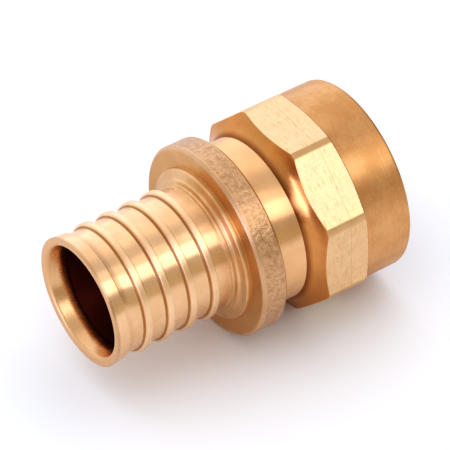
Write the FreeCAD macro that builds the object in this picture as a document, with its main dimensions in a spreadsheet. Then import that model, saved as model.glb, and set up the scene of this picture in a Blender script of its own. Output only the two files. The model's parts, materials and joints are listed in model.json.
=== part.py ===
import FreeCAD, Part
import Sketcher
import os

# Female threaded adapter for plastic pipe: one turned brass body.
# Everything is measured along the fitting's axis from the spigot's tip, in millimetres.
# In the finished part the axis is level and lies along X, the threaded end towards +X,
# and the fitting rests on its flange and on one of its eight flats at Z = 0.

doc = FreeCAD.newDocument("pipe_adapter")

sheet = doc.addObject("Spreadsheet::Sheet", "sizes")
SIZES = [
    # the spigot: a raised band at its tip, then ribs spread evenly up to the hub
    ("spigot_diameter", 21.5),
    ("spigot_length", 20.0),
    ("tip_length", 2.45),
    ("tip_step", 0.4),
    ("lip_flare", 0.2),
    ("lip_chamfer", 0.3),
    ("rib_count", 4),
    ("rib_front_gap", 2.93),
    ("rib_back_gap", 4.08),
    ("rib_height", 0.75),
    ("rib_root_depth", 0.25),
    ("rib_front_run", 0.28),
    ("rib_crest_width", 0.92),
    ("rib_back_run", 0.1),
    # the hub in front of the flange
    ("land_length", 0.5),
    ("land_step", 0.4),
    ("hub_diameter", 27.0),
    ("hub_face_run", 0.5),
    ("hub_corner_run", 0.3),
    ("hub_corner_rise", 1.4),
    ("hub_side", 0.85),
    # the sleeve flange
    ("flange_diameter", 34.0),
    ("flange_thickness", 4.75),
    ("flange_front_chamfer", 0.4),
    ("flange_back_chamfer", 0.4),
    # the neck and the wrench section
    ("neck_diameter", 28.8),
    ("neck_length", 5.55),
    ("shoulder_length", 2.15),
    ("across_flats", 34.0),
    ("flat_count", 8),
    ("flat_run_out", 2.0),
    ("corner_height", 1.15),
    ("corner_front_run", 0.6),
    ("corner_length", 7.5),
    ("corner_back_run", 0.4),
    # the round collar at the threaded end
    ("collar_step", 0.1),
    ("collar_taper", 0.05),
    ("collar_length", 8.75),
    ("collar_rounding", 0.5),
    # inside
    ("bore_diameter", 18.0),
    ("mouth_length", 3.3),
    ("mouth_flare", 0.75),
    ("socket_diameter", 24.12),
    ("socket_depth", 17.0),
    ("socket_cone_run", 1.8),
    ("entry_chamfer", 1.54),
]
for row, (name, value) in enumerate(SIZES, start=1):
    sheet.set("A%d" % row, name)
    sheet.set("B%d" % row, str(value))
    sheet.setAlias("B%d" % row, name)
doc.recompute()


def total(*names):
    return " + ".join("sizes." + name for name in names)


# Stations along the axis, as sums of the lengths of the zones before them.
TIP_END = total("tip_length")
LAND = total("tip_length", "spigot_length")
HUB = LAND + " + " + total("land_length")
HUB_MID = HUB + " + " + total("hub_face_run")
HUB_TOP = HUB_MID + " + " + total("hub_corner_run")
FLANGE = HUB_TOP + " + " + total("hub_side")
FLANGE_BACK = FLANGE + " + " + total("flange_thickness")
NECK_END = FLANGE_BACK + " + " + total("neck_length")
NUT = NECK_END + " + " + total("shoulder_length")
CORNER = NUT + " + " + total("corner_front_run")
CORNER_END = CORNER + " + " + total("corner_length")
NUT_END = CORNER_END + " + " + total("corner_back_run")
END = NUT_END + " + " + total("collar_length")

body = doc.addObject("PartDesign::Body", "adapter_body")
body.Label = "adapter_body"


def plane(role):
    for feature in body.Origin.OriginFeatures:
        if feature.Role == role:
            return feature
    raise RuntimeError("no plane " + role)


def value_of(expression):
    """The present value of an expression made of the sheet's sizes."""
    text = expression
    for name, _ in sorted(SIZES, key=lambda item: -len(item[0])):
        text = text.replace("sizes." + name, repr(float(sheet.get(name))))
    return float(FreeCAD.Units.Quantity(text).Value)


def bind(sketch, kind, index, expression, value):
    """Hold one coordinate of a corner: on an axis of the sketch, or at a distance from it."""
    if expression == "0":
        axis = -2 if kind == "DistanceX" else -1
        sketch.addConstraint(Sketcher.Constraint("PointOnObject", index, 1, axis))
        return
    number = sketch.addConstraint(Sketcher.Constraint(kind, -1, 1, index, 1, value))
    sketch.setExpression("Constraints[%d]" % number, expression)


def profile(name, points):
    """A closed outline in the plane through the axis: each corner is a station and a radius."""
    sketch = body.newObject("Sketcher::SketchObject", name)
    sketch.AttachmentSupport = [(plane("XZ_Plane"), "")]
    sketch.MapMode = "FlatFace"
    corners = [FreeCAD.Vector(value_of(along), value_of(across), 0) for along, across in points]
    count = len(points)
    for index in range(count):
        sketch.addGeometry(Part.LineSegment(corners[index], corners[(index + 1) % count]), False)
    for index in range(count):
        sketch.addConstraint(Sketcher.Constraint("Coincident", index, 2, (index + 1) % count, 1))
    for index, (along, across) in enumerate(points):
        bind(sketch, "DistanceX", index, along, corners[index].x)
        bind(sketch, "DistanceY", index, across, corners[index].y)
    return sketch


def turned(kind, name, outline):
    """A full turn of an outline about the fitting's axis."""
    feature = body.newObject("PartDesign::" + kind, name)
    feature.Profile = outline
    feature.ReferenceAxis = (outline, ["H_Axis"])
    feature.Angle = 360
    doc.recompute()
    return feature


# The outside of the whole fitting, turned about the axis.
R_SPIGOT = "sizes.spigot_diameter / 2"
R_TIP = R_SPIGOT + " + sizes.tip_step"
R_LIP = R_TIP + " + sizes.lip_flare"
R_LAND = R_SPIGOT + " + sizes.land_step"
R_HUB = "sizes.hub_diameter / 2"
R_HUB_MID = R_HUB + " - sizes.hub_corner_rise"
R_FLANGE = "sizes.flange_diameter / 2"
R_NECK = "sizes.neck_diameter / 2"
R_FLAT = "sizes.across_flats / 2"
R_CORNER = R_FLAT + " + sizes.corner_height"
R_COLLAR = R_FLAT + " - sizes.collar_step"
R_COLLAR_END = R_COLLAR + " - sizes.collar_taper"

outside = profile("outside", [
    ("0", "0"),
    ("0", R_LIP),
    (TIP_END, R_TIP),
    (TIP_END, R_SPIGOT),
    (LAND, R_SPIGOT),
    (LAND, R_LAND),
    (HUB, R_LAND),
    (HUB_MID, R_HUB_MID),
    (HUB_TOP, R_HUB),
    (FLANGE, R_HUB),
    (FLANGE, R_FLANGE),
    (FLANGE_BACK, R_FLANGE),
    (FLANGE_BACK, R_NECK),
    (NECK_END, R_NECK),
    (NUT, R_FLAT),
    (CORNER, R_CORNER),
    (CORNER_END, R_CORNER),
    (NUT_END, R_COLLAR),
    (END, R_COLLAR_END),
    (END, "0"),
])
blank = turned("Revolution", "blank", outside)


def circular_edge(shape, along, radius, tolerance=0.02):
    """The name of the circular edge of the given radius at the given station."""
    for number, edge in enumerate(shape.Edges, start=1):
        curve = edge.Curve
        if not isinstance(curve, Part.Circle):
            continue
        if abs(curve.Radius - radius) < tolerance and abs(curve.Center.x - along) < tolerance:
            return "Edge%d" % number
    raise RuntimeError("no circle of radius %.2f at %.2f" % (radius, along))


def soften(kind, name, base, along, radius, size_name):
    """A fillet or a chamfer on the circle of that radius at that station."""
    edge = circular_edge(base.Shape, value_of(along), value_of(radius))
    feature = body.newObject("PartDesign::" + kind, name)
    feature.Base = (base, [edge])
    sized = "Radius" if kind == "Fillet" else "Size"
    feature.setExpression(sized, "sizes." + size_name)
    doc.recompute()
    return feature


step = soften("Chamfer", "lip_edge", blank, "0", R_LIP, "lip_chamfer")
step = soften("Chamfer", "flange_front", step, FLANGE, R_FLANGE, "flange_front_chamfer")
step = soften("Chamfer", "flange_back", step, FLANGE_BACK, R_FLANGE, "flange_back_chamfer")
step = soften("Fillet", "collar_end", step, END, R_COLLAR_END, "collar_rounding")

# The ribs that grip the pipe: a steep face towards the tip, a flat crest and an upright back.
RIB = TIP_END + " + sizes.rib_front_gap"
RIB_TOP = RIB + " + sizes.rib_front_run"
RIB_TOP_END = RIB_TOP + " + sizes.rib_crest_width"
RIB_END = RIB_TOP_END + " + sizes.rib_back_run"
RIB_SPREAD = "sizes.spigot_length - sizes.rib_front_gap - sizes.rib_back_gap"
R_ROOT = R_SPIGOT + " - sizes.rib_root_depth"
R_RIB = R_SPIGOT + " + sizes.rib_height"
rib_outline = profile("rib_outline", [
    (RIB, R_ROOT),
    (RIB, R_SPIGOT),
    (RIB_TOP, R_RIB),
    (RIB_TOP_END, R_RIB),
    (RIB_END, R_SPIGOT),
    (RIB_END, R_ROOT),
])
rib = turned("Revolution", "rib", rib_outline)

ribs = body.newObject("PartDesign::LinearPattern", "ribs")
ribs.Originals = [rib]
ribs.Direction = (rib_outline, ["H_Axis"])
ribs.setExpression("Length", RIB_SPREAD)
ribs.setExpression("Occurrences", "sizes.rib_count")
body.Tip = ribs
doc.recompute()

# The flats of the wrench section: one flat cut across the top, repeated about the axis.
# The cut runs out over the collar, which is a little smaller than the flats.
CUT_END = NUT_END + " + sizes.flat_run_out"
CUT_TOP = R_CORNER + " + sizes.corner_front_run"
flat_outline = profile("flat_outline", [
    (NECK_END, R_FLAT),
    (CUT_END, R_FLAT),
    (CUT_END, CUT_TOP),
    (NECK_END, CUT_TOP),
])
flat = body.newObject("PartDesign::Pocket", "flat")
flat.Profile = flat_outline
flat.Midplane = True
flat.setExpression("Length", "2 * (" + R_CORNER + ")")
doc.recompute()

flats = body.newObject("PartDesign::PolarPattern", "flats")
flats.Originals = [flat]
flats.Axis = (flat_outline, ["H_Axis"])
flats.Angle = 360
flats.setExpression("Occurrences", "sizes.flat_count")
body.Tip = flats
doc.recompute()
before_boring = body.Shape.Volume

# The inside, cut from end to end: a flared mouth, the water bore, a cone up to the socket,
# the socket at the crest size of its thread, and the lead-in of the thread.
SOCKET = END + " - sizes.socket_depth"
SOCKET_CONE = SOCKET + " - sizes.socket_cone_run"
ENTRY = END + " - sizes.entry_chamfer"
R_BORE = "sizes.bore_diameter / 2"
R_MOUTH = R_BORE + " + sizes.mouth_flare"
R_SOCKET = "sizes.socket_diameter / 2"
R_ENTRY = R_SOCKET + " + sizes.entry_chamfer"
inside = profile("inside", [
    ("0", "0"),
    ("0", R_MOUTH),
    ("sizes.mouth_length", R_BORE),
    (SOCKET_CONE, R_BORE),
    (SOCKET, R_SOCKET),
    (ENTRY, R_SOCKET),
    (END, R_ENTRY),
    (END, "0"),
])
boring = turned("Groove", "boring", inside)
if not boring.Shape.Volume < before_boring:
    raise RuntimeError("the bore was not cut")

# At rest the flange and one flat lie on Z = 0, and the part's middle is over the origin.
body.setExpression("Placement.Base.x", "-(" + END + ") / 2")
body.setExpression("Placement.Base.z", "max(sizes.flange_diameter; sizes.across_flats) / 2")
doc.recompute()

for item in doc.Objects:
    if "Invalid" in item.State or "Error" in item.State:
        raise RuntimeError("%s failed: %s" % (item.Name, item.State))
shape = body.Shape
if shape.isNull() or not shape.isValid() or len(shape.Solids) != 1:
    raise RuntimeError("%s has no sound solid" % body.Label)

os.makedirs("parts", exist_ok=True)
shape.exportStep(os.path.join("parts", body.Label + ".step"))
box = shape.optimalBoundingBox()
extents = (box.XLength, box.YLength, box.ZLength)
print("%s: %.2f x %.2f x %.2f mm" % ((body.Label,) + extents))
print("volume %.1f mm3" % shape.Volume)
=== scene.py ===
import json
import math

import bmesh
import bpy
import numpy as np
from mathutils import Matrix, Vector


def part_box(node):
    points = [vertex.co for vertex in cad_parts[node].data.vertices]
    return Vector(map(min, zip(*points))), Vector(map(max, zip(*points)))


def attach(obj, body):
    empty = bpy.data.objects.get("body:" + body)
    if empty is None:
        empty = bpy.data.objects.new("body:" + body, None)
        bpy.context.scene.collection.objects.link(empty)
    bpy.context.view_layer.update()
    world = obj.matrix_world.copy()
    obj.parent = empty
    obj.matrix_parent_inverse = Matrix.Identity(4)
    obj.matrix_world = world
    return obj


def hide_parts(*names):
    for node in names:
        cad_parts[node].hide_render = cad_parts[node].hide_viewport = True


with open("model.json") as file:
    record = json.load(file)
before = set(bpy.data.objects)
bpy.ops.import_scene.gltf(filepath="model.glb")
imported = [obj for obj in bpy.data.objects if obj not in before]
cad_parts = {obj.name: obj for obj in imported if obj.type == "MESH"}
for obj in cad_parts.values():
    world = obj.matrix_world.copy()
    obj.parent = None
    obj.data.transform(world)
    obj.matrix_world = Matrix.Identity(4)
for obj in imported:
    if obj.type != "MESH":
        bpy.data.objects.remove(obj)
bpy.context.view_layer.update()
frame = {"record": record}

# The fitting's axis is level and runs along X from the spigot's tip. Its sizes are in
# millimetres: stations along the axis, counted from the tip, and radii.
MM = 0.001
NODE = "adapter_body"
MOUNTS = {mount["name"]: mount for mount in frame["record"]["mounts"]}
low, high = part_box(NODE)
TIP_X = low[0]
AXIS_Z = MOUNTS["female_thread"]["pos_m"][2]

# The spigot: the lip, the raised band at its tip and the ribs.
R_LIP, R_TIP, R_SPIGOT = 11.45, 11.25, 10.75
R_RIB = MOUNTS["pipe_spigot"]["dims"]["r_mm"]
LIP_FACE, LIP_END, LIP_TAPER = 0.3, 0.4, 0.01
TIP_END = 2.45
RIB_FIRST, RIB_PITCH, RIB_COUNT = TIP_END + 2.93, 4.33, 4
RIB_FRONT, RIB_CREST, RIB_BACK = 0.28, 0.92, 0.1
RIBS = [RIB_FIRST + k * RIB_PITCH for k in range(RIB_COUNT)]

# The land and the hub, and the sleeve flange. The flange touches the floor.
R_LAND, R_HUB_MID, R_HUB = 11.15, 12.1, 13.5
R_FLANGE = AXIS_Z / MM
LAND = TIP_END + 20.0
HUB = LAND + 0.5
HUB_MID = HUB + 0.5
HUB_TOP = HUB_MID + 0.3
FLANGE = (MOUNTS["sleeve_stop"]["pos_m"][0] - TIP_X) / MM
FLANGE_BACK = FLANGE + 4.75

# The neck, the shoulder and the wrench section, of which one flat lies on the floor.
R_NECK, R_SHOULDER_MID = 14.4, 15.9
R_FLAT = AXIS_Z / MM
R_CORNER = R_FLAT + 1.15
FLATS = 8
NECK_END = FLANGE_BACK + 5.55
SHOULDER_MID = NECK_END + 1.45
NUT = NECK_END + 2.15
CORNER = NUT + 0.6
CORNER_END = CORNER + 7.5

# The collar, which ends the fitting.
R_COLLAR, R_COLLAR_END = 16.9, 16.85
NUT_END = CORNER_END + 0.4
END = (high[0] - low[0]) / MM

# Inside: the flared mouth, the water bore, and the cone up to the socket.
R_MOUTH, R_THROAT, R_BORE = 10.05, 9.2, 9.0
R_SOCKET = MOUNTS["female_thread"]["dims"]["r_mm"]
LIP_DEPTH, THROAT, MOUTH, BORE = 1.2, 2.1, 3.3, 3.7
SOCKET = END - 17.0
CONE = SOCKET - 1.8
ENTRY = END - 1.54
R_ENTRY = R_SOCKET + END - ENTRY

# The pipe thread in the socket, 14 turns to the inch. It grows to its full depth over a fade.
THREAD_PITCH, THREAD_DEPTH = 1.814, 1.16
THREAD_START, THREAD_END = END - 15.9, END - 0.12
THREAD_FADE = 1.4
THREAD_ROWS = 12

# The mesh: its columns of points run along the axis, and those of one flat repeat round it.
# Its rings lie at shares of the shoulder's rise, evenly along the flats, and at shares of the
# slope behind them. The thread's rows are counted by the turn. Points nearer than JOINED, in
# metres, are one point.
CORNER_ANGLE = math.degrees(math.acos(R_FLAT / R_CORNER))
FLAT_COLUMNS = 19
SHOULDER_RINGS = (0.02, 0.06, 0.16, 0.27, 0.38, 0.49, 0.6, 0.7, 0.8, 0.88)
FLAT_RINGS = 6
BACK_RINGS = (0.12, 0.5, 0.9, 1.0)
JOINED = 1e-7


def octant_angles():
    """Angles across one flat and the narrow strip beside it, closer together at their corner."""
    near, further = 0.3, 0.7
    inner = list(np.linspace(further - CORNER_ANGLE, CORNER_ANGLE - further, FLAT_COLUMNS))
    edge = [CORNER_ANGLE - near, CORNER_ANGLE + near, CORNER_ANGLE + further]
    middle_of_strip = 180.0 / FLATS
    return sorted(inner + edge + [-angle for angle in edge] + [middle_of_strip])


OFFSETS = octant_angles()
ANGLE = np.radians([k * 360.0 / FLATS + offset for k in range(FLATS) for offset in OFFSETS])
OFFSET = np.radians(np.tile(OFFSETS, FLATS))
ON_STRIP = np.abs(OFFSET) > math.radians(CORNER_ANGLE)
COLUMNS = len(ANGLE)


def rounded(corners, steps=3, margin=0.07, longest=0.4):
    """Points along an outline whose corners are small arcs, each between two support points.

    A corner is a station, a radius and a rounding, which takes at most a share of either leg.
    """
    middle = []
    for before, corner, after in zip(corners, corners[1:], corners[2:]):
        here = np.array(corner[:2])
        legs = np.array(before[:2]) - here, np.array(after[:2]) - here
        lengths = [np.linalg.norm(leg) for leg in legs]
        units = [leg / length for leg, length in zip(legs, lengths)]
        cut = [min(corner[2], longest * length) for length in lengths]
        if lengths[0] > 2 * (cut[0] + margin):
            middle.append(here + units[0] * (cut[0] + margin))
        start, stop = here + units[0] * cut[0], here + units[1] * cut[1]
        for step in range(steps + 1):
            u = step / steps
            middle.append((1 - u) ** 2 * start + 2 * u * (1 - u) * here + u * u * stop)
        if lengths[1] > 2 * (cut[1] + margin):
            middle.append(here + units[1] * (cut[1] + margin))
    return [corners[0][:2], *(tuple(point) for point in middle), corners[-1][:2]]


class Skin:
    """Closed rings of points round the axis, joined in order, each stretch with its finish."""

    def __init__(self):
        self.stations, self.radii, self.finishes = [], [], []
        self.end = None

    def ring(self, station, radius, finish):
        """One ring, round or with a station and a radius for each column."""
        self.stations.append(np.broadcast_to(np.asarray(station, float), (COLUMNS,)))
        self.radii.append(np.broadcast_to(np.asarray(radius, float), (COLUMNS,)))
        self.finishes.append(finish)
        self.end = None

    def turned(self, finish, corners):
        """A turned stretch along the corners. It goes on from where the last one ended.

        The finish is a name, or a function that gives one for a station.
        """
        first = [self.end] if self.end else []
        for station, radius in rounded(first + corners)[len(first):]:
            self.ring(station, radius, finish(station) if callable(finish) else finish)
        self.end = corners[-1]


def mouth_radius(station):
    """The outer part of the flare, which opens wider towards the spigot's end."""
    return R_THROAT + (R_MOUTH - R_THROAT) * (1 - station / THROAT)


def add_lip(skin):
    skin.turned("mouth", [
        (LIP_DEPTH, mouth_radius(LIP_DEPTH)),
        (0.0, R_MOUTH, 0.5),
        (0.0, R_LIP - LIP_FACE),
    ])
    skin.turned("lip", [
        (0.0, R_LIP, 0.28),
        (LIP_END, R_LIP - LIP_TAPER),
    ])


def tip_corners():
    """The raised band behind the lip. A low step and a long slope lead down to the spigot."""
    gap, step, foot, slope = 0.1, 0.1, 0.22, 1.1
    return [
        (LIP_END + gap, R_LIP - 2 * LIP_TAPER, 0.05),
        (TIP_END, R_TIP, 0.06),
        (TIP_END + step, R_SPIGOT + foot, 0.1),
        (TIP_END + slope, R_SPIGOT, 0.8),
    ]


def rib_corners(start):
    """A rib's outline: a steep front, a broad crest that rises a little and an upright back."""
    crest = start + RIB_FRONT
    back = crest + RIB_CREST
    rise = 0.05
    return [
        (start, R_SPIGOT, 0.35),
        (crest, R_RIB - rise, 0.22),
        (back, R_RIB, 0.03),
        (back + RIB_BACK, R_SPIGOT, 0.35),
    ]


def land_corners():
    """The land and the hub's first step, up to the middle of the hub's corner."""
    foot, lean, run, front_drop, back_drop = 0.1, 0.08, 0.15, 0.3, 0.2
    return [
        (LAND - foot, R_SPIGOT, 0.25),
        (LAND + lean, R_LAND, 0.15),
        (HUB - lean, R_LAND, 0.15),
        (HUB + lean, R_HUB_MID - front_drop, 0.2),
        (HUB_MID - run, R_HUB_MID - back_drop, 0.15),
        (HUB_MID, R_HUB_MID),
    ]


def spigot_finish(station):
    """The ribs' fronts have painted shade in their lower half, and their crests are paler and duller.
    """
    foot, dark_share, back_edge, hub_margin = 0.03, 0.55, 0.01, 0.3
    for start in RIBS:
        # Painted shade: the lower half of each rib's front takes the dark tone.
        if start - foot < station < start + dark_share * RIB_FRONT:
            return "shaded_rib_front"
        if start < station < start + RIB_FRONT + RIB_CREST + back_edge:
            return "crest"
    # Painted shade: from the land on, the hub's darker tone stands for the shade beside the flange.
    return "hub" if station > LAND - hub_margin else "spigot"


def add_spigot(skin):
    corners = tip_corners()
    for start in RIBS:
        corners += rib_corners(start)
    skin.turned(spigot_finish, corners + land_corners())


def add_hub(skin):
    """The hub's worn outer corner, and its side up to the foot of the flange's face."""
    lean, drop, corner, foot = 0.05, 0.12, 0.3, 0.15
    skin.turned("hub", [
        (HUB_TOP - lean, R_HUB - drop, 0.25),
        (HUB_TOP + corner, R_HUB, 0.15),
        (FLANGE - foot, R_HUB),
    ])


def add_flange(skin):
    """The flange's face, the chamfers of its edges, and its rim between them."""
    face_edge, front_rise, front_run, rim_start = 0.6, 0.45, 0.5, 0.7
    rim_end, back_chamfer = 0.5, 0.4
    skin.turned("flange", [
        (FLANGE, R_HUB, 0.15),
        (FLANGE, R_FLANGE - face_edge),
    ])
    skin.turned("edge", [
        (FLANGE, R_FLANGE - front_rise, 0.08),
        (FLANGE + front_run, R_FLANGE, 0.12),
        (FLANGE + rim_start, R_FLANGE),
    ])
    skin.turned("rim", [
        (FLANGE_BACK - rim_end, R_FLANGE),
    ])
    skin.turned("edge", [
        (FLANGE_BACK - back_chamfer, R_FLANGE, 0.04),
        (FLANGE_BACK, R_FLANGE - back_chamfer, 0.05),
        (FLANGE_BACK, R_FLANGE - face_edge),
    ])


def add_neck(skin):
    """The flange's back face, darkened as painted shade, and the neck."""
    foot = 0.5
    # Painted shade: the flange's back face is a dark red-brown.
    skin.turned("shaded_recess", [
        (FLANGE_BACK, R_NECK + foot),
    ])
    skin.turned("neck", [
        (FLANGE_BACK, R_NECK, 0.35),
        (NECK_END, R_NECK),
    ])


def shoulder_station(radius):
    """The shoulder's outline: it steepens smoothly from the neck to the flats' corners."""
    middle = (SHOULDER_MID, R_SHOULDER_MID, 1.0)
    corners = [(NECK_END, R_NECK), middle, (NUT, R_FLAT, 0.6), (CORNER, R_CORNER)]
    outline = np.array(rounded(corners, steps=12))
    return np.interp(radius, outline[:, 1], outline[:, 0])


def add_wrench_section(skin):
    """The flats cut into the round body: the rings follow the bows where they end.

    Rings lie close to each edge on both sides, so that the shading stays crisp there.
    """
    top = np.minimum(R_FLAT / np.cos(OFFSET), R_CORNER)
    edge, slope = 0.08, 0.85
    for share in SHOULDER_RINGS:
        radius = R_NECK + share * (top - R_NECK)
        skin.ring(shoulder_station(radius), radius, "shoulder")
    for below in (3 * edge, edge):
        radius = top - slope * below
        skin.ring(shoulder_station(radius), radius, "shoulder")
    front = shoulder_station(top)
    back = CORNER_END + (R_CORNER - top) * (NUT_END - CORNER_END) / (R_CORNER - R_COLLAR)
    for inward in (edge, 3 * edge):
        skin.ring(front + inward, top, "flats")
    for share in np.linspace(0, 1, FLAT_RINGS + 2)[1:-1]:
        skin.ring(front + share * (back - front), top, "flats")
    for inward in (3 * edge, edge):
        skin.ring(back - inward, top, "flats")
    for share in BACK_RINGS:
        radius = top + share * (R_COLLAR - top)
        skin.ring(back + share * (NUT_END - back), radius, "shoulder")


def add_collar(skin):
    """The collar, the end face and the lead-in of the thread."""
    start, taper_start = 0.08, 0.5
    skin.turned("collar", [
        (NUT_END + start, R_COLLAR),
        (NUT_END + taper_start, R_COLLAR, 0.1),
        (END, R_COLLAR_END, 0.5),
        (END, R_ENTRY, 0.1),
        (THREAD_END, R_ENTRY - (END - THREAD_END)),
    ])


def add_bore(skin):
    """From the thread's inner end back to the lip."""
    # Painted shade: the bore and the socket's wall are dark maroon.
    skin.turned("inside", [
        (THREAD_START, R_SOCKET),
        (SOCKET, R_SOCKET, 0.3),
        (CONE, R_BORE, 0.3),
        (BORE, R_BORE),
    ])
    skin.turned("mouth", [
        (MOUTH, R_BORE, 0.6),
        (THROAT, R_THROAT, 0.6),
        (LIP_DEPTH, mouth_radius(LIP_DEPTH)),
    ])


def thread_radius(station, turn):
    """The thread's wall: its own wave round the socket, or the entry's cone where that is wider."""
    fade = np.clip((station - THREAD_START) / THREAD_FADE, 0, 1)
    wave = 0.5 - 0.5 * np.cos(2 * math.pi * turn)
    wall = R_SOCKET + THREAD_DEPTH * wave * fade * fade * (3 - 2 * fade)
    return np.maximum(wall, R_SOCKET + (station - ENTRY))


class Shell:
    """The points and faces of the whole fitting, and the number of each face's finish."""

    def __init__(self, names):
        self.names = names
        self.points, self.faces, self.finishes = [], [], []

    def place(self, station, radius):
        """Points round the axis, one for each column."""
        x = TIP_X + station * MM
        y, z = radius * MM * np.cos(ANGLE), AXIS_Z + radius * MM * np.sin(ANGLE)
        self.points.extend(np.stack([x, y, z], -1))

    def face(self, corners, finish):
        self.faces.append(corners)
        self.finishes.append(self.names.index(finish))

    def lay(self, skin):
        """Join each ring to the next. The strips between the flats have their own finish."""
        first = len(self.points)
        for station, radius in zip(skin.stations, skin.radii):
            self.place(station, radius)
        for row, finish in enumerate(skin.finishes[1:]):
            start = first + row * COLUMNS
            for column in range(COLUMNS):
                near, beside = start + column, start + (column + 1) % COLUMNS
                on_strip = finish == "flats" and ON_STRIP[column]
                corners = (near, beside, beside + COLUMNS, near + COLUMNS)
                self.face(corners, "strip" if on_strip else finish)

    def lay_thread(self):
        """Rows that follow the thread's helix. Past its ends they gather on the rings there."""
        turns = (THREAD_END - THREAD_START) / THREAD_PITCH
        rows = math.ceil(turns * THREAD_ROWS) + THREAD_ROWS + 1
        first = len(self.points)
        for row in range(rows + THREAD_ROWS + 1):
            turn = row / THREAD_ROWS - 1
            station = THREAD_START + THREAD_PITCH * (turn + ANGLE / (2 * math.pi))
            station = np.clip(station, THREAD_START, THREAD_END)
            self.place(station, thread_radius(station, turn))
        for row in range(rows):
            for column in range(COLUMNS):
                near = first + row * COLUMNS + column
                last = column == COLUMNS - 1
                beside = first + (row + THREAD_ROWS) * COLUMNS if last else near + 1
                self.face((near, near + COLUMNS, beside + COLUMNS, beside), "thread")

    def piece(self, name):
        """One smooth object, with the points that fall together joined."""
        mesh = bpy.data.meshes.new(name)
        mesh.from_pydata([tuple(point) for point in self.points], [], self.faces)
        mesh.polygons.foreach_set("material_index", self.finishes)
        mesh.polygons.foreach_set("use_smooth", [True] * len(self.faces))
        edit = bmesh.new()
        edit.from_mesh(mesh)
        bmesh.ops.remove_doubles(edit, verts=edit.verts, dist=JOINED)
        bmesh.ops.recalc_face_normals(edit, faces=edit.faces)
        edit.to_mesh(mesh)
        edit.free()
        piece = bpy.data.objects.new(name, mesh)
        bpy.context.collection.objects.link(piece)
        return piece


def build_fitting(finishes):
    """One closed mesh: the outside, the end face, the threaded socket, the bore and the lip."""
    outside, inside = Skin(), Skin()
    for add in (add_lip, add_spigot, add_hub, add_flange, add_neck, add_wrench_section, add_collar):
        add(outside)
    add_bore(inside)
    shell = Shell(list(finishes))
    shell.lay(outside)
    shell.lay(inside)
    shell.lay_thread()
    fitting = shell.piece("turned_fitting")
    for material in finishes.values():
        fitting.data.materials.append(material)
    return fitting


def mixed_colour(tree, share, first, second):
    """A colour between two, each of them a socket or three numbers."""
    mix = tree.nodes.new("ShaderNodeMix")
    mix.data_type = "RGBA"
    tree.links.new(share, mix.inputs["Factor"])
    ends = [socket for socket in mix.inputs if socket.type == "RGBA"]
    for end, colour in zip(ends, (first, second)):
        if isinstance(colour, bpy.types.NodeSocket):
            tree.links.new(colour, end)
        else:
            end.default_value = (*colour, 1)
    return next(socket for socket in mix.outputs if socket.type == "RGBA")


class Material:
    """A metal whose nodes are added one by one. Places are in millimetres."""

    def __init__(self, name):
        self.data = bpy.data.materials.new(name)
        self.data.use_nodes = True
        self.tree = self.data.node_tree
        self.inputs = self.tree.nodes["Principled BSDF"].inputs
        self.inputs["Metallic"].default_value = 1.0
        self.place = self.scaled(self.node("ShaderNodeTexCoord").outputs["Object"], 1 / MM)

    def feed(self, **sockets):
        """Link sockets to the shader's inputs, which are named with _ for a space."""
        for name, socket in sockets.items():
            self.tree.links.new(socket, self.inputs[name.replace("_", " ")])

    def node(self, kind, inputs=None, **settings):
        made = self.tree.nodes.new(kind)
        for name, value in settings.items():
            setattr(made, name, value)
        for name, value in (inputs or {}).items():
            if isinstance(value, bpy.types.NodeSocket):
                self.tree.links.new(value, made.inputs[name])
            else:
                made.inputs[name].default_value = value
        return made

    def scaled(self, vector, factor):
        node = self.node("ShaderNodeVectorMath", {0: vector, "Scale": factor}, operation="SCALE")
        return node.outputs["Vector"]

    def math(self, operation, first, second=0.0, third=0.0):
        inputs = {0: first, 1: second, 2: third}
        return self.node("ShaderNodeMath", inputs, operation=operation).outputs[0]

    def noise(self, vector, size, detail=3.0):
        """A noise from 0 to 1 whose features are about this many millimetres across."""
        inputs = {"Vector": vector, "Scale": 1 / size, "Detail": detail}
        return self.node("ShaderNodeTexNoise", inputs).outputs["Fac"]

    def ramp(self, value, start, stop, low=0.0, high=1.0):
        inputs = {"Value": value, "From Min": start, "From Max": stop, "To Min": low, "To Max": high}
        node = self.node("ShaderNodeMapRange", inputs, interpolation_type="SMOOTHSTEP")
        return node.outputs["Result"]

    def parts(self, vector):
        return self.node("ShaderNodeSeparateXYZ", {0: vector}).outputs

    def vector(self, **parts):
        return self.node("ShaderNodeCombineXYZ", parts).outputs[0]

    def above_axis(self):
        return self.math("SUBTRACT", self.parts(self.place)["Z"], AXIS_Z / MM)

    def reach(self):
        """The distance from the axis."""
        across = self.vector(Y=self.parts(self.place)["Y"], Z=self.above_axis())
        return self.node("ShaderNodeVectorMath", {0: across}, operation="LENGTH").outputs["Value"]

    def between(self, share, first, second):
        return mixed_colour(self.tree, share, first, second)

    def bump(self, height, depth, strength=1.0, under=None):
        inputs = {"Height": height, "Distance": depth * MM, "Strength": strength}
        if under:
            inputs["Normal"] = under
        return self.node("ShaderNodeBump", inputs).outputs["Normal"]


# The metal's marks, in millimetres: tarnish and wear come in blotches, a lathe leaves lines,
# and a mill scratches across each flat beside the line that is scribed there.
BLOTCHES, LINES, SPECKS, GRAIN = 4.0, 0.22, 0.35, 0.25
FLARE_BLOTCHES, FLARE_GRAIN = 1.6, 0.2
RIM_LUMPS, RIM_PITS = 0.8, 0.22
WEAR, SCRATCHES, SCRIBED_LINE = 2.5, 0.16, CORNER_END - 2.85


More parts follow.
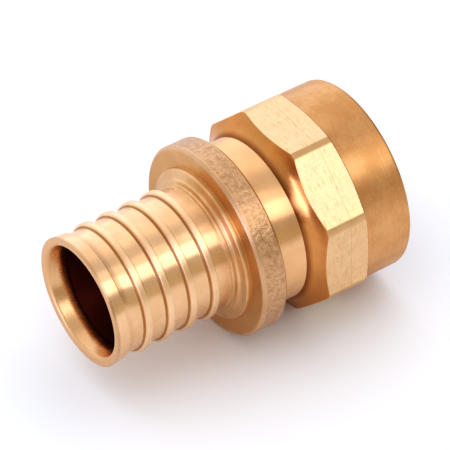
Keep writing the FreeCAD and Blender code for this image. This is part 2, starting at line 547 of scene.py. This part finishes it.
def turned_brass(name, tones, rough, stretch, marks=0.0, grain=0.0, **extras):
    """Metal from a lathe: fine marks round the axis stretch its highlights along the axis.

    Its tones are clean and tarnished. Marks and grain are depths in millimetres.
    Extras are mottle, a share of specks; root, a painted shade in the corner beside the neck; and
    grazing, the tint of what it reflects at a flat angle.
    """
    metal = Material(name)
    reach = metal.reach()
    lathe = metal.vector(X=metal.parts(metal.place)["X"], Y=reach)
    blotches = metal.noise(metal.place, BLOTCHES)
    lines = metal.noise(lathe, LINES, detail=2.0)
    blotch_share, line_share, root_shade_start, root_shade_end = 0.85, 0.3, R_NECK + 0.1, R_NECK + 1.0
    mixed = metal.math("MULTIPLY", blotches, blotch_share)
    mixed = metal.math("MULTIPLY_ADD", lines, line_share, mixed)
    if "mottle" in extras:
        specks = metal.math("SUBTRACT", metal.noise(metal.place, SPECKS), 0.5)
        mixed = metal.math("MULTIPLY_ADD", specks, extras["mottle"], mixed)
    tone = metal.between(metal.ramp(mixed, 0.42, 0.72), *tones)
    # Painted shade: the corner beside the neck takes a darker colour.
    if "root" in extras:
        tone = metal.between(metal.ramp(reach, root_shade_start, root_shade_end), extras["root"], tone)
    metal.feed(Base_Color=tone, Roughness=metal.ramp(blotches, 0.3, 0.7, rough - 0.01, rough + 0.02))
    metal.inputs["Anisotropic"].default_value = stretch
    metal.inputs["Anisotropic Rotation"].default_value = 0.25
    metal.feed(Tangent=metal.node("ShaderNodeTangent", direction_type="RADIAL", axis="X").outputs[0])
    if "grazing" in extras:
        metal.inputs["Specular Tint"].default_value = (*extras["grazing"], 1)
    if marks:
        normal = metal.bump(lines, marks)
        if grain:
            normal = metal.bump(metal.noise(metal.place, GRAIN), grain, under=normal)
        metal.feed(Normal=normal)
    return metal.data


def flared_brass(name, near, deep_shade):
    """The mouth's flare: near the lip tan and grainy, deeper in a red-brown painted shade where the
    bore begins.
    """
    metal = Material(name)
    station = metal.math("SUBTRACT", metal.parts(metal.place)["X"], TIP_X / MM)
    blotches = metal.noise(metal.place, FLARE_BLOTCHES)
    grain = metal.noise(metal.place, FLARE_GRAIN)
    ragged, tan_end, red_start = 2.5, 2.8, MOUTH + 2.4
    dull_start, dull_end = 0.1, 0.7
    share = metal.ramp(metal.math("MULTIPLY_ADD", blotches, ragged, station), tan_end, red_start)
    worn = metal.ramp(grain, 0.3, 0.7, 0.2, 0.28)
    dull_lip = metal.ramp(station, dull_start, dull_end, 0.2, 0.0)
    # Painted shade: the flare darkens to red-brown deeper into the bore.
    metal.feed(Base_Color=metal.between(share, near, deep_shade))
    metal.feed(Roughness=metal.math("ADD", worn, dull_lip), Normal=metal.bump(grain, 0.004))
    return metal.data


def rolled_brass(name, dark, pale):
    """The flange's rim: dull, with the lumps and pits of a rolled surface."""
    metal = Material(name)
    lumps = metal.noise(metal.place, RIM_LUMPS)
    pits = metal.noise(metal.place, RIM_PITS)
    share = metal.ramp(metal.math("ADD", lumps, pits), 0.7, 1.2)
    lumpy = metal.bump(lumps, 0.14, strength=0.8)
    metal.feed(Base_Color=metal.between(share, dark, pale))
    metal.feed(Roughness=metal.ramp(lumps, 0.3, 0.7, 0.28, 0.38))
    metal.feed(Normal=metal.bump(pits, 0.06, strength=0.9, under=lumpy))
    return metal.data


def flat_places(metal):
    """The number of the flat, and the place across it in millimetres from its middle."""
    width = 13.0
    angle = metal.math("ARCTAN2", metal.above_axis(), metal.parts(metal.place)["Y"])
    turned = metal.math("DIVIDE", angle, 2 * math.pi / FLATS)
    flat = metal.math("ROUND", turned)
    return flat, metal.math("MULTIPLY", metal.math("SUBTRACT", turned, flat), width)


def worked_place(metal, flat, sideways):
    """The place along the axis, shifted and tilted a little by chance on each flat."""
    furthest, lean = 0.25, 0.015
    number = metal.math("FLOORED_MODULO", flat, FLATS)
    chance = metal.node("ShaderNodeTexWhiteNoise", {"W": number}, noise_dimensions="1D")
    shift = metal.ramp(chance.outputs["Value"], 0.0, 1.0, -furthest, furthest)
    tilt = metal.math("MULTIPLY", sideways, lean)
    along = metal.parts(metal.place)["X"]
    return metal.math("SUBTRACT", metal.math("ADD", along, tilt), shift)


def milled_brass(name, pale, tan):
    """The flats: pale and dull, specked, each with a scribed line and short scratches across it.

    Every fourth flat is tan: painted shade on the flat that faces sideways, and on the one
    opposite. Both colours are pairs, and specks and wear decide between them.
    """
    metal = Material(name)
    line_core, line_edge, stretch = 0.03, 0.14, 0.08
    dark_line, dark_scratch = 0.9, 0.82
    flat, sideways = flat_places(metal)
    place = worked_place(metal, flat, sideways)
    away = metal.math("ABSOLUTE", metal.math("SUBTRACT", place, SCRIBED_LINE + TIP_X / MM))
    scribed = metal.ramp(away, line_core, line_edge)
    stretched = metal.vector(X=place, Y=metal.math("MULTIPLY", sideways, stretch))
    scratches = metal.ramp(metal.noise(stretched, SCRATCHES, detail=1.0), 0.3, 0.38)
    specks = metal.noise(metal.place, SPECKS)
    worn = metal.noise(metal.place, WEAR)
    share = metal.ramp(metal.math("ADD", specks, worn), 0.75, 1.25)
    # Painted shade: every fourth flat, the sideways flat among them, takes the darker tan colours.
    every_fourth = metal.math("FLOORED_MODULO", flat, FLATS / 2)
    is_side_shaded = metal.math("COMPARE", every_fourth, 0.0, 0.1)
    colour = metal.between(is_side_shaded, metal.between(share, *pale), metal.between(share, *tan))
    line = metal.ramp(scribed, 0.0, 1.0, dark_line, 1.0)
    marked = metal.math("MULTIPLY", line, metal.ramp(scratches, 0.0, 1.0, dark_scratch, 1.0))
    normal = metal.bump(scribed, 0.01)
    normal = metal.bump(scratches, 0.02, strength=0.5, under=normal)
    normal = metal.bump(specks, 0.014, strength=0.6, under=normal)
    metal.feed(Base_Color=metal.scaled(colour, marked), Normal=normal)
    metal.feed(Roughness=metal.ramp(worn, 0.3, 0.7, 0.32, 0.4))
    return metal.data


# The turned brass, clean and tarnished, from the polished spigot to the dark bore. The darker
# tones of the rib fronts, the hub, the flange's back face and the bore are painted shade.
PALE = (0.93, 0.66, 0.42), (0.88, 0.6, 0.37)
GOLD = (0.9, 0.61, 0.37), (0.85, 0.55, 0.32)
WARM_GOLD = (0.85, 0.54, 0.29), (0.81, 0.5, 0.27)
HUB_PAINTED_SHADE = (0.79, 0.51, 0.275), (0.7, 0.43, 0.21)
SAND = (0.74, 0.5, 0.28), (0.68, 0.44, 0.23)
BROWN = (0.73, 0.42, 0.198), (0.65, 0.35, 0.148)
DULL_TAN = (0.7, 0.46, 0.28), (0.63, 0.4, 0.23)
DULL_SAND = (0.7, 0.45, 0.26), (0.64, 0.4, 0.23)
AMBER = (0.7, 0.4, 0.17), (0.64, 0.355, 0.15)
ORANGE = (0.7, 0.37, 0.14), (0.64, 0.33, 0.12)
RED = (0.68, 0.33, 0.12), (0.62, 0.29, 0.1)
SHADED = (0.5, 0.275, 0.115), (0.44, 0.235, 0.095)
RECESS_PAINTED_SHADE = (0.42, 0.18, 0.07), (0.36, 0.14, 0.05)
BORE_PAINTED_SHADE = (0.32, 0.08, 0.04), (0.25, 0.06, 0.03)

# Painted shade for the corner beside the neck, and the tints of what metal reflects at a flat angle.
ROOT_PAINTED_SHADE = (0.33, 0.12, 0.04)
SHOULDER_GRAZING, BORE_GRAZING = (0.93, 0.8, 0.7), (0.75, 0.45, 0.3)

# The flats, the mouth and the flange's rim, each from one colour to another. The flats' second
# colours and the mouth's deep red-brown are painted shade.
MILLED_PALE = (0.79, 0.57, 0.33), (0.85, 0.64, 0.4)
MILLED_SIDE_SHADE = (0.77, 0.51, 0.28), (0.84, 0.58, 0.34)
MOUTH_TAN, MOUTH_PAINTED_SHADE = (0.76, 0.475, 0.26), (0.42, 0.17, 0.06)
RIM_DARK, RIM_PALE = (0.47, 0.28, 0.155), (0.69, 0.435, 0.255)


def make_finishes():
    """Every finish by its name. The numbers are roughness, then the highlights' stretch."""
    shoulder = {"root": ROOT_PAINTED_SHADE, "grazing": SHOULDER_GRAZING}
    return {
        "lip": turned_brass("lip", DULL_TAN, 0.34, 0.7, marks=0.003, grain=0.004),
        "spigot": turned_brass("spigot", GOLD, 0.27, 0.9),
        "shaded_rib_front": turned_brass("shaded_rib_front", SHADED, 0.4, 0.6),
        "crest": turned_brass("crest", PALE, 0.36, 0.6),
        "hub": turned_brass("hub", HUB_PAINTED_SHADE, 0.34, 0.8),
        "flange": turned_brass("flange", AMBER, 0.3, 0.85, marks=0.003),
        "edge": turned_brass("edge", DULL_SAND, 0.34, 0.7, marks=0.003),
        "rim": rolled_brass("rim", RIM_DARK, RIM_PALE),
        "shaded_recess": turned_brass("shaded_recess", RECESS_PAINTED_SHADE, 0.3, 0.7, marks=0.003),
        "neck": turned_brass("neck", WARM_GOLD, 0.29, 0.9, marks=0.002),
        "shoulder": turned_brass("shoulder", RED, 0.17, 0.7, marks=0.002, grain=0.001, **shoulder),
        "flats": milled_brass("flats", MILLED_PALE, MILLED_SIDE_SHADE),
        "strip": turned_brass("strip", SAND, 0.34, 0.6, marks=0.003, grain=0.004),
        "collar": turned_brass("collar", BROWN, 0.42, 0.65, marks=0.003, grain=0.012, mottle=0.45),
        "inside": turned_brass("inside", BORE_PAINTED_SHADE, 0.34, 0.8, marks=0.01, grazing=BORE_GRAZING),
        "mouth": flared_brass("mouth", MOUTH_TAN, MOUTH_PAINTED_SHADE),
        "thread": turned_brass("thread", ORANGE, 0.34, 0.6, marks=0.006),
    }


def add_floor():
    """A sheet of matt paper, wide enough to run out of the picture."""
    reach = 1.5
    corners = [(-reach, -reach, 0), (reach, -reach, 0), (reach, reach, 0), (-reach, reach, 0)]
    mesh = bpy.data.meshes.new("floor")
    mesh.from_pydata(corners, [], [(0, 1, 2, 3)])
    floor = bpy.data.objects.new("floor", mesh)
    material = bpy.data.materials.new("floor_paper")
    material.use_nodes = True
    shader = material.node_tree.nodes["Principled BSDF"]
    shader.inputs["Base Color"].default_value = (0.87, 0.89, 0.95, 1)
    shader.inputs["Roughness"].default_value = 0.7
    mesh.materials.append(material)
    bpy.context.collection.objects.link(floor)


def add_softbox(name, direction, distance, size, level, reflected=True, colour=(1, 1, 1)):
    """A square light that faces the fitting. It shows in the metal, or else it lights the floor."""
    light = bpy.data.lights.new(name, "AREA")
    light.color = colour
    light.shape = "RECTANGLE"
    light.size, light.size_y = size
    light.energy = level * math.pi * light.size * light.size_y
    lamp = bpy.data.objects.new(name, light)
    towards = Vector(direction).normalized()
    lamp.location = Vector((0, 0, AXIS_Z)) + towards * distance
    lamp.rotation_euler = towards.to_track_quat("Z", "Y").to_euler()
    lamp.visible_camera = False
    lamp.visible_glossy = reflected
    lamp.visible_diffuse = not reflected
    bpy.context.collection.objects.link(lamp)


def add_lights():
    """A lamp for the floor, a long bright streak with a fainter one above, and a side light."""
    cool, blue = (1, 1.05, 1.1), (1, 1.2, 2.0)
    add_softbox("overhead", (0.05, 0.2, 0.98), 0.8, (1.0, 0.8), 0.25, reflected=False)
    add_softbox("streak", (0.1, -0.695, 0.715), 0.9, (1.5, 0.37), 0.95, colour=cool)
    add_softbox("glow", (0.1, -0.42, 0.9), 0.9, (1.5, 0.24), 0.35)
    add_softbox("side", (-0.965, -0.16, 0.11), 0.9, (0.42, 0.4), 2.4, colour=blue)


# The pale room: how its brightness changes along an axis of the direction that is looked in,
# as (axis, from, to, brightness before, brightness after). The changes are multiplied. The
# floor's light and what the camera sees behind the fitting are plain.
ROOM_CHANGES = [
    ("Y", -0.85, -0.35, 0.5, 0.7),
    ("Y", 0.0, 0.35, 1.0, 1.38),
    ("Y", 0.6, 0.85, 1.0, 1.08),
    ("X", -0.9, 0.2, 0.7, 1.0),
    ("X", 0.5, 0.8, 1.0, 0.35),
]
ROOM_ON_FLOOR, ROOM_BEHIND = 0.82, 0.9
WARM, WHITE, COOL = (1.06, 0.98, 0.8), (1.0, 0.99, 0.99), (0.96, 1.03, 1.14)


def add_world():
    """A pale room, brightest behind the fitting and dimmer on the side that it points to."""
    world = bpy.data.worlds.new("studio")
    world.use_nodes = True
    tree = world.node_tree
    nodes, links = tree.nodes, tree.links
    direction = nodes.new("ShaderNodeSeparateXYZ")
    links.new(nodes.new("ShaderNodeTexCoord").outputs["Generated"], direction.inputs[0])
    ray = nodes.new("ShaderNodeLightPath")

    def change(axis, start, stop, low=0.0, high=1.0):
        node = nodes.new("ShaderNodeMapRange")
        node.interpolation_type = "SMOOTHSTEP"
        links.new(direction.outputs[axis], node.inputs["Value"])
        for name, value in zip(("From Min", "From Max", "To Min", "To Max"), (start, stop, low, high)):
            node.inputs[name].default_value = value
        return node.outputs["Result"]

    def product(first, second):
        node = nodes.new("ShaderNodeMath")
        node.operation = "MULTIPLY"
        links.new(first, node.inputs[0])
        links.new(second, node.inputs[1])
        return node.outputs[0]

    def instead(kind, level, other):
        """A plain brightness for one kind of ray, and the other for all the rest."""
        node = nodes.new("ShaderNodeMix")
        links.new(ray.outputs[kind], node.inputs["Factor"])
        links.new(other, node.inputs["A"])
        node.inputs["B"].default_value = level
        return node.outputs["Result"]

    room = change(*ROOM_CHANGES[0])
    for row in ROOM_CHANGES[1:]:
        room = product(room, change(*row))
    room = instead("Is Diffuse Ray", ROOM_ON_FLOOR, room)
    room = instead("Is Camera Ray", ROOM_BEHIND, room)
    tint = mixed_colour(tree, change("Z", 0.15, 0.55), WARM, WHITE)
    tint = mixed_colour(tree, change("Y", 0.35, 0.85), tint, COOL)
    links.new(tint, nodes["Background"].inputs["Color"])
    links.new(room, nodes["Background"].inputs["Strength"])
    bpy.context.scene.world = world


def add_camera():
    """A long lens on a 36 mm sensor, at the photograph's angle."""
    place = Vector((-0.2675, -0.4095, 0.4576))
    target = Vector((0.00255, 0.00153, 0.017))
    roll = math.radians(-2.0)
    data = bpy.data.cameras.new("camera")
    data.sensor_width, data.lens = 36.0, 320.0
    camera = bpy.data.objects.new("camera", data)
    camera.location = place
    camera.rotation_mode = "QUATERNION"
    camera.rotation_quaternion = (place - target).to_track_quat("Z", "Y")
    camera.rotation_mode = "XYZ"
    camera.rotation_euler.rotate_axis("Z", roll)
    bpy.context.collection.objects.link(camera)
    bpy.context.scene.camera = camera


fitting = build_fitting(make_finishes())
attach(fitting, "root")
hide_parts(NODE)

add_floor()
add_lights()
add_world()
add_camera()
bpy.context.scene.view_settings.view_transform = "Standard"
bpy.context.scene.view_settings.look = "High Contrast"
